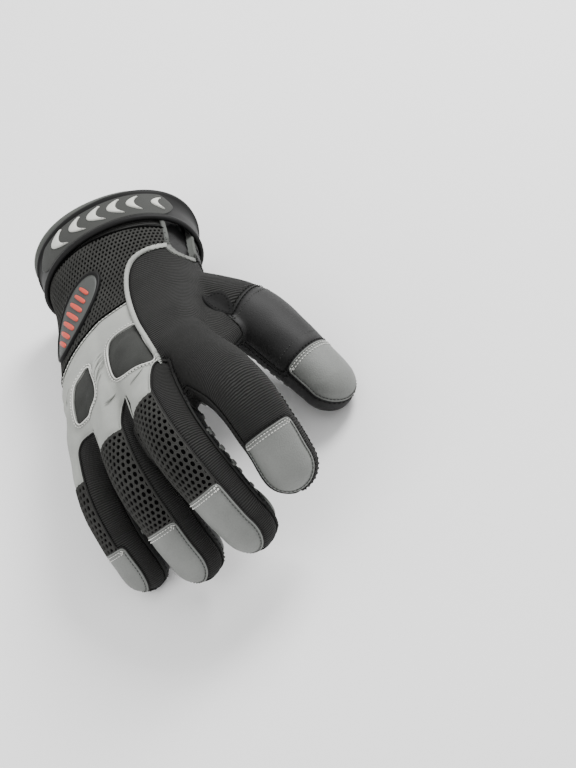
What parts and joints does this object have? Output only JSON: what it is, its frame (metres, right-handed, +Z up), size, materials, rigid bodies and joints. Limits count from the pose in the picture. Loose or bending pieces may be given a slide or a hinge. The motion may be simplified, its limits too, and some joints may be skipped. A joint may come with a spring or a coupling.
{
  "type": "insulated work glove",
  "caption": "Right-hand padded work glove resting palm down, hollow, with mesh back, gray knuckle panel, ribbed thumb side, wrist strap and grip pads.",
  "frame": {"origin": "centre of the bounding box in plan, at the height of the surface that the glove rests on", "axes": "+Z up; +Y towards the cuff, fingers towards -Y; +X towards the thumb"},
  "size_m": [0.1488, 0.2428, 0.0891],
  "materials": {
    "palm_leather": "satin",
    "ribbed_cloth": "matte",
    "mesh_cloth": "matte",
    "gray_cloth": "matte",
    "tip_gray": "satin",
    "inset_cloth": "matte",
    "emblem_rubber": "satin",
    "strap_rubber": "satin",
    "pale_rubber": "satin",
    "pad_rubber": "gloss"
  },
  "bodies": {
    "root": {"palm_panel": "palm_leather", "cuff_band": "palm_leather", "thumb_band": "palm_leather", "thumb_crotch_tab": "palm_leather", "slit_gusset": "palm_leather", "front_thumb": "palm_leather", "front_index": "palm_leather", "front_middle": "palm_leather", "front_ring": "palm_leather", "front_pinky": "palm_leather", "index_thumb_back": "ribbed_cloth", "cuff_back_band": "ribbed_cloth", "index_side": "ribbed_cloth", "middle_side_thumbward": "ribbed_cloth", "middle_side_outward": "ribbed_cloth", "ring_side_thumbward": "ribbed_cloth", "ring_side_outward": "ribbed_cloth", "pinky_side": "ribbed_cloth", "back_mesh": "mesh_cloth", "middle_back": "mesh_cloth", "ring_back": "mesh_cloth", "pinky_back": "mesh_cloth", "knuckle_panel": "gray_cloth", "cuff_rim": "gray_cloth", "slit_binding": "gray_cloth", "back_piping": "gray_cloth", "tip_patch_thumb": "tip_gray", "tip_patch_index": "tip_gray", "tip_patch_middle": "tip_gray", "tip_patch_ring": "tip_gray", "tip_patch_pinky": "tip_gray", "knuckle_window_large": "inset_cloth", "knuckle_window_small": "inset_cloth", "emblem": "emblem_rubber", "cuff_strap": "strap_rubber", "strap_crescent_1": "pale_rubber", "strap_crescent_2": "pale_rubber", "strap_crescent_3": "pale_rubber", "strap_crescent_4": "pale_rubber", "strap_crescent_5": "pale_rubber", "strap_crescent_6": "pale_rubber", "grip_pad_thumb": "pad_rubber", "grip_pad_index": "pad_rubber", "grip_pad_middle": "pad_rubber", "grip_pad_ring": "pad_rubber", "grip_pad_pinky": "pad_rubber"}
  },
  "joints": []
}
